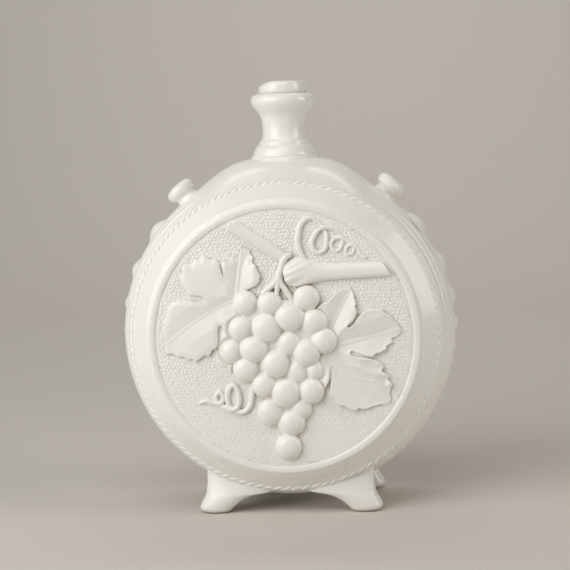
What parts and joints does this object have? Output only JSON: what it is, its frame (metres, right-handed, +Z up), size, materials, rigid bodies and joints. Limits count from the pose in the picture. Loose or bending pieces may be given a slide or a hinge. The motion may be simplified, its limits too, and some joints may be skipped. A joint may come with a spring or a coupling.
{
  "type": "porcelain wine bottle",
  "caption": "Round flat-faced porcelain wine flask on splayed feet, with grape vine relief, cord lugs, a beaded neck and a lift-out corked stopper.",
  "frame": {"origin": "on the table under the middle of the bottle", "axes": "+Z up along the neck, -Y out of the front face, +X to the right seen from the front"},
  "size_m": [0.199, 0.106, 0.25],
  "materials": {
    "porcelain": "glossy clear-glazed warm white porcelain",
    "stopper_porcelain": "glossy clear-glazed warm white porcelain",
    "cork": "natural cork"
  },
  "bodies": {
    "bottle": {"front_shell": "porcelain", "back_shell": "porcelain", "neck": "porcelain", "left_lug": "porcelain", "right_lug": "porcelain", "front_left_foot": "porcelain", "front_right_foot": "porcelain", "rear_left_foot": "porcelain", "rear_right_foot": "porcelain", "front_ring": "porcelain", "front_rope": "porcelain", "front_right_cane": "porcelain", "front_left_cane": "porcelain", "front_bunch_stem": "porcelain", "front_grape_bunch": "porcelain", "front_left_leaf": "porcelain", "front_right_leaf": "porcelain", "front_upper_tendril": "porcelain", "front_lower_tendril": "porcelain", "rear_ring": "porcelain", "rear_rope": "porcelain", "rear_right_cane": "porcelain", "rear_left_cane": "porcelain", "rear_bunch_stem": "porcelain", "rear_grape_bunch": "porcelain", "rear_left_leaf": "porcelain", "rear_right_leaf": "porcelain", "rear_upper_tendril": "porcelain", "rear_lower_tendril": "porcelain", "left_boss_1": "porcelain", "left_boss_2": "porcelain", "left_boss_3": "porcelain", "left_boss_4": "porcelain", "left_boss_5": "porcelain", "left_boss_6": "porcelain", "right_boss_1": "porcelain", "right_boss_2": "porcelain", "right_boss_3": "porcelain", "right_boss_4": "porcelain", "right_boss_5": "porcelain", "right_boss_6": "porcelain"},
    "stopper": {"stopper_head": "stopper_porcelain", "stopper_cork": "cork"}
  },
  "joints": [
    {"name": "stopper_lift", "type": "slide", "parent": "bottle", "child": "stopper", "axis": [0, 0, 1], "range_m": [0, 0.045]}
  ]
}
